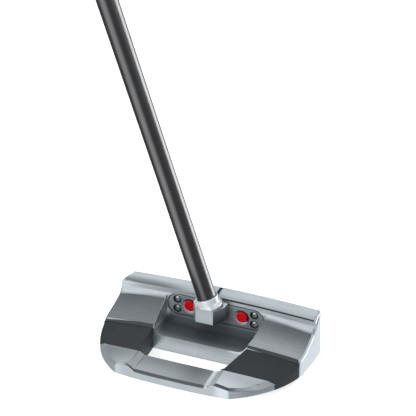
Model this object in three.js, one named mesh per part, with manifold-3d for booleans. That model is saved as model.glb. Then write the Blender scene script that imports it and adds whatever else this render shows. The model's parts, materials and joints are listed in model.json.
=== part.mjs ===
// Mallet putter, right-handed, millimetres.
// +X runs heel to toe, +Y points at the target, +Z is up.
// The origin is the middle of the sole plate's flat, under the sight line.
import * as THREE from 'three';
import { mergeVertices } from 'three/addons/utils/BufferGeometryUtils.js';
import Module from 'manifold-3d';

const wasm = await Module();
wasm.setup();

// ---------------------------------------------------------------- driving dimensions
const GAP = 0.3;                 // clearance between pieces that touch

// head outline, seen from above
const RIM_RADIUS = 51.3;         // round rim of the D shape
const RIM_CENTRE_Y = 7.5;
const TOPLINE_FRONT_Y = 27;      // top edge of the face
const TOE_CORNER_RADIUS = 1.6;   // between the face and the toe side
const HEEL_SWEEP_RADIUS = 21;    // the heel side curves in towards the face
const HEEL_SWEEP_Y = 14;
const REAR_Y = -36.2;            // rearmost point
const REAR_RADIUS = 350;         // the rear wall is almost straight
const REAR_CORNER_RADIUS = 3.5;
const LOFT = 3.5;                // degrees, the face leans back

// head section on the centre line
const TOPLINE_HEIGHT = 25.2;
const TOPLINE_REAR_Y = 19;
const TOPLINE_REAR_Z = 23.6;     // the topline rolls off towards its rear edge
const WALL_FOOT_Z = 21.4;        // end of the straight wall behind the topline
const SHELF_Y = 15.4;            // front edge of the wings
const SHELF_Z = 18.9;
const WING_REAR_Y = -0.4;
const WING_REAR_Z = 14.2;
const WING_SCOOP = 0.7;          // hollow of the wings
const BEVEL_Y = -1.7;            // foot of the bevel behind the wings
const BEVEL_Z = 12.95;
const SPLIT_REAR_Y = -25.4;      // core frame meets rear flange
const SPLIT_REAR_Z = 14.1;
const FLANGE_REAR_Z = 14.1;

// sole
const SOLE_FLAT_HALF = 12;       // half width of the flat
const SOLE_CAMBER = 0.0012;      // rise per mm squared outside the flat
const SOLE_CAMBER_Y = 22;        // the camber fades out at this line, under the face
const SOLE_RELIEF = 0.134;       // rise per mm behind the sole plate's cross bar
const LEADING_EDGE = 2.2;        // rounding under the face
const TRAILING_EDGE = 1.2;       // chamfer under the wall that faces the window

// sole plate of the core frame, let into the front body
const PLATE_REAR_Y = 2;
const PLATE_FRONT_Y = 16;
const PLATE_OUTER_X = 33.5;
const PLATE_ARM_X = 25.2;
const PLATE_TOP_Z = 3.2;
const SOLE_CENTRE_Y = (PLATE_REAR_Y + PLATE_FRONT_Y) / 2;

// tongues of the rear flange, under the core frame
const TONGUE_INNER_X = 25.5;
const TONGUE_OUTER_X = 39.5;
const TONGUE_FRONT_Y = -11.5;
const TONGUE_TOP_Z = 6.4;

// pocket and window
const POCKET_WALL_Y = 18.6;
const POCKET_FRONT_HALF = 26;
const POCKET_REAR_HALF = 24.3;
const POCKET_FLOOR_FRONT_Z = 6.8;
const POCKET_FLOOR_REAR_Z = 9;
const POCKET_FILLET = 6;
const WINDOW_REAR_HALF = 21.4;
const WINDOW_REAR_Y = -23.2;
const WINDOW_CORNER = 1.2;

// lowered middle of the rear flange
const DIP_HALF = 18;             // foot of the ramps
const RAMP_WIDTH = 3.7;
const DIP_FRONT_Z = 10.8;
const DIP_REAR_Z = 9.7;
const RIM_CHAMFER = 1;
const SIGHT_REAR_Y = 20.4;       // rear end of the sight line's groove

// neck plate with its block and collar
const PLATE_HALF = 19.9;         // centres of the plate's round ends
const PLATE_RADIUS = 5.2;
const PLATE_Z = 15.6;
const PLATE_THICKNESS = 2.4;
const BLOCK_CENTRE_X = -1.2;
const BLOCK_HALF = 8.1;
const BLOCK_NOSE_HALF = 4.6;
const BLOCK_REAR_Y = 7.3;
const BLOCK_CHAMFER_Y = 13.2;
const BLOCK_BOTTOM_Z = 15;
const BLOCK_TOP_Z = 22.55;
const BLOCK_LEDGE = 0.1;         // top of the block left round the collar
const COLLAR_RADIUS = 5.45;
const COLLAR_FLARE = 0.9;
const COLLAR_LENGTH = 4.4;
const SOCKET_DEPTH = 9;          // below the top of the collar

// fasteners
const BOLT_X = 13.7;
const BOLT_Z = 15.7;
const BOLT_BORE = 3.8;
const BOLT_HEAD = 2.85;
const BOLT_SINK = 1.2;
const BOLT_SHANK = 1.7;
const BOLT_END_Y = 23.4;
const SCREW_X = 20.2;
const SCREW_Z = [18.2, 13];
const SCREW_BORE = 2.15;
const SCREW_HEAD = 1.75;
const SCREW_SINK = 1.5;
const SCREW_SHANK = 1.1;
const SCREW_END_Y = 25.4;

// face insert
const INSERT_HALF_LENGTH = 38;
const INSERT_HALF_HEIGHT = 8.5;
const INSERT_Z = 12.2;
const INSERT_THICKNESS = 2.4;
const GASKET_THICKNESS = 0.8;

// sole weights and sole screws
const WEIGHT_X = 42;
const WEIGHT_Y = 8.5;
const WEIGHT_RADIUS = 6;
const WEIGHT_HEIGHT = 6;
const SOLE_SCREW_HEAD = 2.6;
const SOLE_SCREW_SHANK = 1.4;
const CORE_SCREWS = [[29.5, 12.5, 2.1], [29.5, 4, 2.1]];       // x, y, head's underside z
const FLANGE_SCREWS = [[29, -19, 4.8], [36, -15.5, 4.8]];
const CORE_SCREW_LENGTH = 6;
const FLANGE_SCREW_LENGTH = 4.6;

// shaft and grip
const LIE = 71;                  // degrees between shaft and ground
const SHAFT_FOOT = new THREE.Vector3(-0.75, 13, BLOCK_TOP_Z);
const CLUB_LENGTH = 864;         // 34 inches along the shaft from the ground
const SHAFT_TIP_DIAMETER = 9.4;
const SHAFT_TIP_PARALLEL = 70;
const SHAFT_BUTT_DIAMETER = 14.7;
const SHAFT_WALL = 0.9;
const GRIP_LENGTH = 267;
const GRIP_WIDTH_TOP = 30;
const GRIP_WIDTH_FOOT = 19;

// ---------------------------------------------------------------- helpers
const RAD = Math.PI / 180;
const FAR = 90;                  // reach of cutting bodies, beyond the head

function arc(cx, cy, radius, from, to, count) {
  const points = [];
  for (let i = 0; i <= count; i += 1) {
    const angle = (from + ((to - from) * i) / count) * RAD;
    points.push([cx + radius * Math.cos(angle), cy + radius * Math.sin(angle)]);
  }
  return points;
}

function shapeOf(points) {
  return new THREE.Shape(points.map(([u, v]) => new THREE.Vector2(u, v)));
}

function toSolid(geometry) {
  geometry.deleteAttribute('normal');
  geometry.deleteAttribute('uv');
  const merged = mergeVertices(geometry, 1e-4);
  return new wasm.Manifold(new wasm.Mesh({
    numProp: 3,
    vertProperties: new Float32Array(merged.attributes.position.array),
    triVerts: new Uint32Array(merged.index.array),
  }));
}

function toGeometry(solid) {
  const { vertProperties, triVerts, numProp } = solid.getMesh();
  if (numProp !== 3) throw new Error('positions only');
  const geometry = new THREE.BufferGeometry();
  geometry.setAttribute('position', new THREE.BufferAttribute(vertProperties, 3));
  geometry.setIndex(new THREE.BufferAttribute(triVerts, 1));
  geometry.computeVertexNormals();
  return geometry;
}

function extruded(outline, depth, steps = 1) {
  return new THREE.ExtrudeGeometry(shapeOf(outline), { depth, steps, bevelEnabled: false });
}

function reshape(geometry, place) {
  const position = geometry.attributes.position;
  for (let i = 0; i < position.count; i += 1) {
    const [x, y, z] = place(position.getX(i), position.getY(i), position.getZ(i));
    position.setXYZ(i, x, y, z);
  }
  return geometry;
}

// outline in X and Y, raised along Z
function prismZ(outline, bottom, top) {
  return toSolid(extruded(outline, top - bottom).translate(0, 0, bottom));
}

// outline in X and Z, carried along Y
function prismY(outline, rear, front) {
  return toSolid(reshape(extruded(outline, front - rear), (u, v, w) => [u, front - w, v]));
}

// section in Y and Z, carried heel to toe in steps and bent
function sweepX(section, bend, half = 60, steps = 24) {
  return toSolid(reshape(extruded(section, 2 * half, steps), (u, v, w) => bend(w - half, u, v)));
}

// turned body: profile of [radius, height] round the Z axis
function turned(profile, segments = 24) {
  const points = profile.map(([radius, height]) => new THREE.Vector2(radius, height));
  if (THREE.ShapeUtils.area(points) < 0) points.reverse();
  return toSolid(new THREE.LatheGeometry(points, segments).rotateX(90 * RAD));
}

function rod(radius, bottom, top, segments = 24) {
  return turned([[0, bottom], [radius, bottom], [radius, top], [0, top]], segments);
}

function placed(solid, matrix) {
  const geometry = toGeometry(solid);
  geometry.applyMatrix4(matrix);
  return toSolid(geometry);
}

function moved(solid, x, y, z) {
  return placed(solid, new THREE.Matrix4().makeTranslation(x, y, z));
}

// a body turned round Z laid down, so that its Z axis points along -Y
function facingBack(solid, x, y, z) {
  const matrix = new THREE.Matrix4().makeRotationX(90 * RAD);
  return placed(solid, matrix.setPosition(x, y, z));
}

function joined(first, ...rest) {
  return rest.reduce((whole, piece) => whole.add(piece), first);
}

function cut(body, ...tools) {
  return tools.reduce((whole, tool) => whole.subtract(tool), body);
}

// ---------------------------------------------------------------- materials
function metal(color, roughness) {
  return new THREE.MeshStandardMaterial({ color, roughness, metalness: 1 });
}

const steel = metal(0xb4bcc4, 0.32);
const screwSteel = metal(0xa9afb5, 0.22);
const weightSteel = metal(0x9aa0a6, 0.3);
const blackAluminium = new THREE.MeshStandardMaterial({ color: 0x3c4145, roughness: 0.5, metalness: 0.6 });
const redAluminium = new THREE.MeshStandardMaterial({ color: 0xe0141e, roughness: 0.35, metalness: 0.5 });
const faceAluminium = metal(0xc6cacd, 0.4);
const shaftSteel = metal(0x57534f, 0.25);
const rubber = new THREE.MeshStandardMaterial({ color: 0x232425, roughness: 0.8, metalness: 0 });
const gasketRubber = new THREE.MeshStandardMaterial({ color: 0x1b1b1c, roughness: 0.7, metalness: 0 });
const tapePaper = new THREE.MeshStandardMaterial({ color: 0xd8cfae, roughness: 0.9, metalness: 0 });
const paint = new THREE.MeshStandardMaterial({ color: 0x101112, roughness: 0.5, metalness: 0 });

// ---------------------------------------------------------------- the head's surfaces
// The top is crowned heel to toe, most at the rear and least on the topline.
// The crosswise edges bow forwards at their ends, except for the topline's.
function clamp(value, low, high) {
  return Math.min(high, Math.max(low, value));
}

function toplineShare(y) {
  return clamp((y - SHELF_Y) / (TOPLINE_REAR_Y - SHELF_Y), 0, 1);
}

function crown(y) {
  const behind = clamp(-y, 0, 3 - REAR_Y);
  return 0.0012 - 0.0006 * toplineShare(y) + 0.00007 * behind;
}

function bow(y) {
  const behind = clamp(-y, 0, 3 - REAR_Y);
  const ahead = clamp(y, 0, SHELF_Y);
  return (0.0004 + 0.00002 * ahead) * (1 - toplineShare(y)) + 0.0000055 * behind * behind;
}

function bendTop(x, y, z) {
  return [x, y + bow(y) * x * x, z - crown(y) * x * x];
}

function bendEdge(x, y, z) {
  return [x, y + bow(y) * x * x, z];
}

function bendSole(x, y, z) {
  const outside = Math.max(0, Math.abs(x) - SOLE_FLAT_HALF);
  const share = clamp((SOLE_CAMBER_Y - y) / (SOLE_CAMBER_Y - PLATE_REAR_Y), 0, 1);
  return [x, y, z + SOLE_CAMBER * share * outside * outside];
}

function mirrored(toeHalf) {
  const heelHalf = toeHalf.map(([x, y]) => [-x, y]).reverse();
  return [...toeHalf, ...heelHalf];
}

function rearWallY(x) {
  return REAR_Y + REAR_RADIUS - Math.sqrt(REAR_RADIUS * REAR_RADIUS - x * x);
}

function toeCorner() {
  const radius = TOE_CORNER_RADIUS;
  return arc(RIM_RADIUS - radius, TOPLINE_FRONT_Y - radius, radius, 90, 0, 4);
}

// Half width of the heel side ahead of the round rim.
function heelHalf(y) {
  const ahead = Math.max(0, y - HEEL_SWEEP_Y);
  return RIM_RADIUS - HEEL_SWEEP_RADIUS + Math.sqrt(HEEL_SWEEP_RADIUS ** 2 - ahead ** 2);
}

// Round rim, rear corner and half of the rear wall, front to rear.
function rearHalf() {
  const corner = REAR_CORNER_RADIUS;
  // the corner's centre keeps its distance to the rim and to the rear wall
  let cornerAngle = -50;
  let centre = [0, 0];
  for (let i = 0; i < 200; i += 1) {
    centre = [(RIM_RADIUS - corner) * Math.cos(cornerAngle * RAD),
      RIM_CENTRE_Y + (RIM_RADIUS - corner) * Math.sin(cornerAngle * RAD)];
    const reach = Math.hypot(centre[0], centre[1] - REAR_Y - REAR_RADIUS);
    cornerAngle -= REAR_RADIUS - corner - reach;
  }
  const rearAngle = Math.atan2(centre[1] - REAR_Y - REAR_RADIUS, centre[0]) / RAD;
  const rear = arc(0, REAR_Y + REAR_RADIUS, REAR_RADIUS, rearAngle, -90, 4);
  return [
    ...arc(0, RIM_CENTRE_Y, RIM_RADIUS, 0, cornerAngle, 22),
    ...arc(centre[0], centre[1], corner, cornerAngle, rearAngle, 4).slice(1),
    ...rear.slice(1, -1),
  ];
}

// Plan outline at the height of the topline, clockwise from the middle of the face.
function headOutline() {
  const rear = rearHalf();
  const heelYs = [27, 25, 22.5, 20, 17].map((y) => Math.min(y, TOPLINE_FRONT_Y));
  const heel = [...heelYs.map((y) => [heelHalf(y), y]), ...rear];
  return [...toeCorner(), ...rear, ...heel.map(([x, y]) => [-x, y]).reverse()];
}

// The face leans back with the loft, and the rest of the side stands upright.
function leanFace(x, y, z) {
  const lean = y > RIM_CENTRE_Y + 1 ? (TOPLINE_HEIGHT - z) * Math.tan(LOFT * RAD) : 0;
  return [x, y + lean, z];
}

// Everything under the top surface, for a section given front to rear.
function underTop(section) {
  const below = [[-FAR, section.at(-1)[1]], [-FAR, -FAR], [FAR, -FAR], [FAR, section[0][1]]];
  return sweepX([...section, ...below], bendTop);
}

function soleBody() {
  const edge = TOPLINE_FRONT_Y + 1;
  const section = [
    [FAR, FAR], [-FAR, FAR], [-FAR, SOLE_RELIEF * (FAR + PLATE_REAR_Y)],
    [PLATE_REAR_Y, 0], [SOLE_CAMBER_Y, 0],
    ...arc(edge - LEADING_EDGE, LEADING_EDGE, LEADING_EDGE, -90, -20, 4),
    [edge + 0.6, LEADING_EDGE + 1.5], [FAR, LEADING_EDGE + 2],
  ];
  return sweepX(section, bendSole, 60, 30);
}

// Body between two crosswise edges that bow like the surfaces.
function between(rear, front) {
  return sweepX([[rear, -FAR], [front, -FAR], [front, FAR], [rear, FAR]], bendEdge);
}

// ---------------------------------------------------------------- top section
function shelfCurve() {
  const points = [];
  const depth = TOPLINE_REAR_Y - SHELF_Y;
  const height = WALL_FOOT_Z - SHELF_Z;
  for (let i = 0; i <= 6; i += 1) {
    const angle = i * 15 * RAD;
    points.push([TOPLINE_REAR_Y - depth * (1 - Math.cos(angle)), WALL_FOOT_Z - height * Math.sin(angle)]);
  }
  return points;
}

function wingCurve() {
  const points = [];
  const count = 8;
  for (let i = 1; i <= count; i += 1) {
    const t = i / count;
    const hollow = WING_SCOOP * 4 * t * (1 - t);
    points.push([SHELF_Y + (WING_REAR_Y - SHELF_Y) * t, SHELF_Z + (WING_REAR_Z - SHELF_Z) * t - hollow]);
  }
  return points;
}

const wingSection = [...wingCurve(), [BEVEL_Y, BEVEL_Z]];
const rearSection = [[BEVEL_Y, BEVEL_Z], [SPLIT_REAR_Y, SPLIT_REAR_Z], [REAR_Y - 3, FLANGE_REAR_Z]];

// Height of a bent section over a point of the plan.
function heightAt(section, x, y) {
  const bent = section.map(([v, w]) => bendTop(x, v, w));
  let height = bent[0][2];
  for (let i = 1; i < bent.length; i += 1) {
    const [, frontY, frontZ] = bent[i - 1];
    const [, rearY, rearZ] = bent[i];
    if (y <= frontY) height = frontZ + (rearZ - frontZ) * clamp((frontY - y) / (frontY - rearY), 0, 1);
  }
  return height;
}

// Body that takes a chamfer off a top rim, along a run of outline points.
function rimCutter(run, heightOver) {
  const positions = [];
  const reach = RIM_CHAMFER + 1;
  run.forEach(([x, y], i) => {
    const [ax, ay] = run[Math.max(0, i - 1)];
    const [bx, by] = run[Math.min(run.length - 1, i + 1)];
    const length = Math.hypot(bx - ax, by - ay);
    const out = [(by - ay) / length, -(bx - ax) / length];
    const z = heightOver(x, y);
    const corners = [[-reach, 1], [1, -reach], [1, 1]];
    corners.forEach(([away, up]) => positions.push(x + out[0] * away, y + out[1] * away, z + up));
  });
  const index = [0, 1, 2];
  const last = 3 * (run.length - 1);
  for (let i = 0; i < run.length - 1; i += 1) {
    for (let k = 0; k < 3; k += 1) {
      const a = 3 * i + k;
      const b = 3 * i + ((k + 1) % 3);
      index.push(a, b + 3, b, a, a + 3, b + 3);
    }
  }
  index.push(last, last + 2, last + 1);
  const geometry = new THREE.BufferGeometry();
  geometry.setAttribute('position', new THREE.BufferAttribute(new Float32Array(positions), 3));
  geometry.setIndex(index);
  return toSolid(geometry);
}

// Runs are given rear to front, with X growing outwards; the heel's is turned round.
function chamferRims(body, toeRun, heelRun, heightOver) {
  const heel = heelRun.map(([x, y]) => [-x, y]).reverse();
  return cut(body, rimCutter(toeRun, heightOver), rimCutter(heel, heightOver));
}

const sideRim = rearHalf().reverse();

// ---------------------------------------------------------------- shared bodies
const soleSide = soleBody();
const plan = toSolid(reshape(toGeometry(prismZ(headOutline(), -5, 40)), leanFace));

function blank(section) {
  return underTop(section).intersect(soleSide).intersect(plan);
}

function pocketFloor(y) {
  const depth = (POCKET_WALL_Y - y) / (POCKET_WALL_Y - BEVEL_Y);
  return POCKET_FLOOR_FRONT_Z + (POCKET_FLOOR_REAR_Z - POCKET_FLOOR_FRONT_Z) * depth;
}

function pocketHalf(y) {
  const depth = (POCKET_WALL_Y - y) / (POCKET_WALL_Y - BEVEL_Y);
  return POCKET_FRONT_HALF + (POCKET_REAR_HALF - POCKET_FRONT_HALF) * depth;
}

// Pocket milled behind the face wall: filleted along its front and sides.
function pocketBody() {
  const side = POCKET_FRONT_HALF - POCKET_FILLET;
  const toeFillet = arc(side, POCKET_FILLET, POCKET_FILLET, -90, 0, 6);
  const section = [...toeFillet, [POCKET_FRONT_HALF, 40], [-POCKET_FRONT_HALF, 40],
    ...toeFillet.map(([x, z]) => [-x, z]).reverse()];
  const filletSteps = 6;
  const floorSteps = 4;
  const steps = filletSteps + floorSteps;
  return toSolid(reshape(extruded(section, steps, steps), (u, v, w) => {
    const turn = Math.min(1, w / filletSteps) * 90 * RAD;
    const lift = POCKET_FILLET * (1 - Math.sin(turn));
    const filletY = POCKET_WALL_Y - POCKET_FILLET * (1 - Math.cos(turn));
    const run = Math.max(0, w - filletSteps) / floorSteps;
    const y = filletY + (BEVEL_Y - 4 - filletY) * run;
    return [(u * pocketHalf(y)) / POCKET_FRONT_HALF, y, v + pocketFloor(y) + lift];
  }));
}

function windowBody(frontY) {
  const corner = WINDOW_CORNER;
  const rear = arc(WINDOW_REAR_HALF - corner, WINDOW_REAR_Y + corner, corner, 0, -90, 4);
  return prismZ(mirrored([[POCKET_REAR_HALF, frontY], [POCKET_REAR_HALF, BEVEL_Y], ...rear]), -20, 60);
}

function stadium(half, radius, z) {
  return [...arc(half, z, radius, -90, 90, 14), ...arc(-half, z, radius, 90, 270, 14)];
}

// ---------------------------------------------------------------- front body
const boltPlaces = [['heel', -BOLT_X], ['toe', BOLT_X]];
const screwPlaces = boltPlaces.flatMap(([side]) => SCREW_Z.map((z, i) => (
  [`${side}_${i === 0 ? 'upper' : 'lower'}`, side === 'heel' ? -SCREW_X : SCREW_X, z])));

function faceBody(inset, behind, ahead) {
  // stadium prism square to the lofted face, between two depths behind it
  const half = INSERT_HALF_LENGTH - INSERT_HALF_HEIGHT;
  const body = prismY(stadium(half, INSERT_HALF_HEIGHT - inset, 0), -behind, -ahead);
  const matrix = new THREE.Matrix4().makeRotationX(LOFT * RAD);
  const faceY = TOPLINE_FRONT_Y + (TOPLINE_HEIGHT - INSERT_Z) * Math.tan(LOFT * RAD);
  return placed(body, matrix.setPosition(0, faceY, INSERT_Z));
}

const insertPocketDepth = GASKET_THICKNESS + INSERT_THICKNESS + 2 * GAP;
const boltHoles = boltPlaces.map(([, x]) => (
  prismY(arc(x, BOLT_Z, BOLT_SHANK + GAP, 0, 337.5, 15), POCKET_WALL_Y, BOLT_END_Y + GAP)));
const screwHoles = screwPlaces.map(([, x, z]) => (
  prismY(arc(x, z, SCREW_SHANK + GAP, 0, 337.5, 15), POCKET_WALL_Y, SCREW_END_Y + GAP)));

// Outline of the sole plate: a cross bar with an arm back to each bridge.
function plateOutline(grow) {
  const outer = PLATE_OUTER_X + grow;
  const arm = PLATE_ARM_X - grow;
  const end = BEVEL_Y - 3;
  return mirrored([[arm, PLATE_REAR_Y - grow], [arm, end], [outer, end], [outer, PLATE_FRONT_Y + grow]]);
}

function tongueBodies(grow) {
  return [-1, 1].map((side) => {
    const outlineXY = [[TONGUE_INNER_X - grow, -45], [TONGUE_OUTER_X + grow, -45],
      [TONGUE_OUTER_X + grow, TONGUE_FRONT_Y + grow], [TONGUE_INNER_X - grow, TONGUE_FRONT_Y + grow]];
    return prismZ(outlineXY.map(([x, y]) => [side * x, y]), -10, TONGUE_TOP_Z + grow);
  });
}

function bothSides(places) {
  return places.flatMap(([x, y, z]) => [[-x, y, z], [x, y, z]]);
}

// Countersunk sole screw, head down, and the hole that takes it.
function soleScrewBody(length, grow) {
  const head = SOLE_SCREW_HEAD + grow;
  const shank = SOLE_SCREW_SHANK + grow;
  const sink = head - shank;
  const end = length + grow;
  return turned([[0, -sink], [head, -sink], [shank, 0], [shank, end], [0, end]], 16);
}

function soleScrewHoles(places, length) {
  return bothSides(places).map(([x, y, z]) => {
    const below = rod(SOLE_SCREW_HEAD + GAP, -20, -(SOLE_SCREW_HEAD - SOLE_SCREW_SHANK) + 0.001, 16);
    return moved(soleScrewBody(length, GAP).add(below), x, y, z);
  });
}

function weightBody(x, radius, bottom, top) {
  return moved(rod(radius, bottom, top), x, WEIGHT_Y, 0);
}

const coreScrewHoles = soleScrewHoles(CORE_SCREWS, CORE_SCREW_LENGTH);
const flangeScrewHoles = soleScrewHoles(FLANGE_SCREWS, FLANGE_SCREW_LENGTH);

function toplineCurve() {
  const steps = 4;
  const points = [[TOPLINE_FRONT_Y + 3, TOPLINE_HEIGHT]];
  for (let i = 0; i <= steps; i += 1) {
    const t = i / steps;
    const y = TOPLINE_FRONT_Y - 2 + (TOPLINE_REAR_Y - TOPLINE_FRONT_Y + 2) * t;
    points.push([y, TOPLINE_HEIGHT + (TOPLINE_REAR_Z - TOPLINE_HEIGHT) * t * t]);
  }
  return points;
}

// Rim of one side from the wings' rear edge to the face, as a run of points.
function frontRim(halfAt, corner) {
  const wing = sideRim.filter(([, y]) => y < RIM_CENTRE_Y - 0.01);
  const wall = [TOPLINE_REAR_Y - 0.08, TOPLINE_REAR_Y - 0.04];
  const stations = [RIM_CENTRE_Y, 10, 12.5, 16, 17.2, 17.6, 18, 18.4, 18.7, ...wall, 20.8, 22.4, 24, 25.4];
  return [...wing, ...stations.map((y) => [halfAt(y), y]), ...corner];
}

function frontBody() {
  const section = [...toplineCurve(), ...shelfCurve(), ...wingSection];
  let body = blank(section).intersect(between(BEVEL_Y, FAR));
  // the chamfer runs out at the front corners
  const runOut = (y) => RIM_CHAMFER * clamp((y - 25.6) / 1.3, 0, 1);
  const toeRun = frontRim(() => RIM_RADIUS, toeCorner().reverse());
  const heelRun = frontRim(heelHalf, [26.2, 26.9].map((y) => [heelHalf(y), y]));
  // the height is read a little ahead, so that the cutter rises before it meets the wall
  const lead = 0.06;
  body = chamferRims(body, toeRun, heelRun, (x, y) => heightAt(section, x, y + lead) + runOut(y));
  body = cut(body, pocketBody());
  const recess = stadium(PLATE_HALF, PLATE_RADIUS + GAP, PLATE_Z);
  body = cut(body, prismY(recess, 10, POCKET_WALL_Y + PLATE_THICKNESS + GAP));
  body = cut(body, faceBody(-GAP, insertPocketDepth, -3), ...boltHoles, ...screwHoles);
  [-WEIGHT_X, WEIGHT_X].forEach((x) => {
    body = cut(body, weightBody(x, WEIGHT_RADIUS + GAP, -5, WEIGHT_HEIGHT + 1.4 + GAP));
  });
  body = cut(body, prismZ(plateOutline(GAP), -10, PLATE_TOP_Z + GAP), ...coreScrewHoles);
  return cut(body, trailingChamfer(), sightBody(0.75, SIGHT_REAR_Y, TOPLINE_FRONT_Y + 2, -3, 0.9));
}

function trailingChamfer() {
  const section = [[BEVEL_Y - 1, -1], [BEVEL_Y + TRAILING_EDGE + 1, -1], [BEVEL_Y - 1, TRAILING_EDGE + 1]];
  return sweepX(section, (x, y, z) => [x, y, z], POCKET_REAR_HALF, 1);
}

// Groove for the sight line, or the paint in it, between two depths under the topline.
function sightBody(half, rear, front, top, bottom) {
  const surface = toplineCurve().filter(([y]) => y < TOPLINE_FRONT_Y - 2.1 && y > rear + 0.1);
  const [, rearZ] = surface.at(-1);
  const over = [[front, TOPLINE_HEIGHT], ...surface, [rear, rearZ]];
  const under = over.map(([y, z]) => [y, z - bottom]).reverse();
  return sweepX([...over.map(([y, z]) => [y, z - top]), ...under], (x, y, z) => [x, y, z], half, 1);
}

// ---------------------------------------------------------------- core frame and rear flange
const SPLIT_GAP = GAP / 2;

// Middle stretch behind the window, which belongs to the flange.
function middleBody(grow) {
  const half = WINDOW_REAR_HALF + grow;
  return prismZ([[-half, -60], [half, -60], [half, WINDOW_REAR_Y], [-half, WINDOW_REAR_Y]], -20, 60);
}

function coreFrame() {
  const section = [[BEVEL_Y, BEVEL_Z], [SPLIT_REAR_Y, SPLIT_REAR_Z]];
  let body = blank(section).intersect(between(SPLIT_REAR_Y + SPLIT_GAP, BEVEL_Y - GAP));
  const rim = sideRim.filter(([, y]) => y < BEVEL_Y + 2 && y > SPLIT_REAR_Y);
  body = chamferRims(body, rim, rim, (x, y) => heightAt(rearSection, x, y));
  body = cut(body, windowBody(10), middleBody(GAP), ...tongueBodies(GAP));
  const solePlate = prismZ(plateOutline(0), -10, PLATE_TOP_Z).intersect(soleSide);
  return cut(body.add(solePlate), ...coreScrewHoles, ...flangeScrewHoles);
}

// Ramps down from the raised sides to the lowered middle.
function dipBody() {
  const steps = 6;
  const rise = 1.9;
  const ramp = [];
  for (let i = 0; i <= steps; i += 1) {
    const t = i / steps;
    ramp.push([DIP_HALF + RAMP_WIDTH * t, rise * t * t * (3 - 2 * t)]);
  }
  const top = [[DIP_HALF + RAMP_WIDTH + 4, rise + 3], [DIP_HALF + RAMP_WIDTH + 4, 30]];
  const section = mirrored([...ramp, ...top]);
  const front = WINDOW_REAR_Y + 2;
  return toSolid(reshape(extruded(section, front - REAR_Y + 4), (u, v, w) => {
    const slope = (DIP_FRONT_Z - DIP_REAR_Z) / (WINDOW_REAR_Y - REAR_Y);
    return [u, front - w, v + DIP_FRONT_Z + slope * (front - w - WINDOW_REAR_Y)];
  }));
}

function flangeHeight(x, y) {
  const slope = (DIP_FRONT_Z - DIP_REAR_Z) / (WINDOW_REAR_Y - REAR_Y);
  const t = Math.min(1, Math.max(0, (Math.abs(x) - DIP_HALF) / RAMP_WIDTH));
  const dip = DIP_FRONT_Z + slope * (y - WINDOW_REAR_Y);
  const raised = heightAt(rearSection, x, y);
  return dip + (raised - dip) * t;
}

// Rim round the back, heel to toe, closely spaced where the ramps cross it.
function rearRim() {
  const side = sideRim.filter(([x, y]) => y < SPLIT_REAR_Y + 10 && x > DIP_HALF + RAMP_WIDTH + 1);
  const stations = [0, 6, 12, DIP_HALF - 0.6];
  for (let i = 0; i <= 6; i += 1) stations.push(DIP_HALF + (RAMP_WIDTH * i) / 6);
  const wall = [...stations, DIP_HALF + RAMP_WIDTH + 0.6].map((x) => [x, rearWallY(x)]);
  const toe = [...wall, ...side];
  return [...toe.slice(1).map(([x, y]) => [-x, y]).reverse(), ...toe];
}

function rearFlange() {
  const section = [[BEVEL_Y, SPLIT_REAR_Z], [SPLIT_REAR_Y, SPLIT_REAR_Z], [REAR_Y - 3, FLANGE_REAR_Z]];
  const region = joined(between(-FAR, SPLIT_REAR_Y - SPLIT_GAP), middleBody(0), ...tongueBodies(0));
  const body = cut(blank(section).intersect(region), windowBody(10), dipBody());
  return cut(body, rimCutter(rearRim(), flangeHeight), ...flangeScrewHoles);
}

// ---------------------------------------------------------------- neck plate
// Places a body turned round Z on the shaft's axis.
function onShaft(solid) {
  const matrix = new THREE.Matrix4().makeRotationY(-(90 - LIE) * RAD);
  return placed(solid, matrix.setPosition(SHAFT_FOOT));
}

function neckPlate() {
  const wallY = POCKET_WALL_Y;
  const blockPart = (toeSide, bottom, top) => (
    moved(prismZ(mirrored(toeSide), bottom, top), BLOCK_CENTRE_X, 0, 0));
  const sides = [[BLOCK_NOSE_HALF, BLOCK_REAR_Y], [BLOCK_HALF, BLOCK_CHAMFER_Y], [BLOCK_HALF, wallY - GAP]];
  const block = blockPart(sides, BLOCK_BOTTOM_Z, BLOCK_TOP_Z);
  const rootSides = [[BLOCK_HALF, wallY - 1], [BLOCK_HALF, wallY + 1]];
  const root = blockPart(rootSides, BLOCK_BOTTOM_Z, PLATE_Z + PLATE_RADIUS);
  const flare = COLLAR_RADIUS + COLLAR_FLARE;
  const flareCurve = arc(flare, COLLAR_FLARE, COLLAR_FLARE, -90, -180, 4);
  const collar = onShaft(turned([[0, -4], [flare, -4], ...flareCurve,
    [COLLAR_RADIUS, COLLAR_LENGTH], [0, COLLAR_LENGTH]], 36));
  const flats = [[BLOCK_NOSE_HALF - BLOCK_LEDGE / 2, BLOCK_REAR_Y + BLOCK_LEDGE],
    [BLOCK_HALF - BLOCK_LEDGE, BLOCK_CHAMFER_Y + BLOCK_LEDGE / 2], [BLOCK_HALF - BLOCK_LEDGE, wallY - GAP]];
  const room = blockPart(flats, BLOCK_TOP_Z - 0.5, 60);
  const plate = prismY(stadium(PLATE_HALF, PLATE_RADIUS, PLATE_Z), wallY, wallY + PLATE_THICKNESS);
  const bores = boltPlaces.map(([, x]) => (
    prismY(arc(x, BOLT_Z, BOLT_BORE, 0, 348, 29), 0, wallY + BOLT_SINK)));
  const sinks = screwPlaces.map(([, x, z]) => (
    prismY(arc(x, z, SCREW_BORE, 0, 345, 23), 0, wallY + SCREW_SINK)));
  const socket = onShaft(rod(SHAFT_TIP_DIAMETER / 2 + GAP, COLLAR_LENGTH - SOCKET_DEPTH, 20, 36));
  const body = joined(plate, block, root, collar.intersect(room));
  return cut(body, ...bores, ...sinks, ...boltHoles, ...screwHoles, socket);
}

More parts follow.
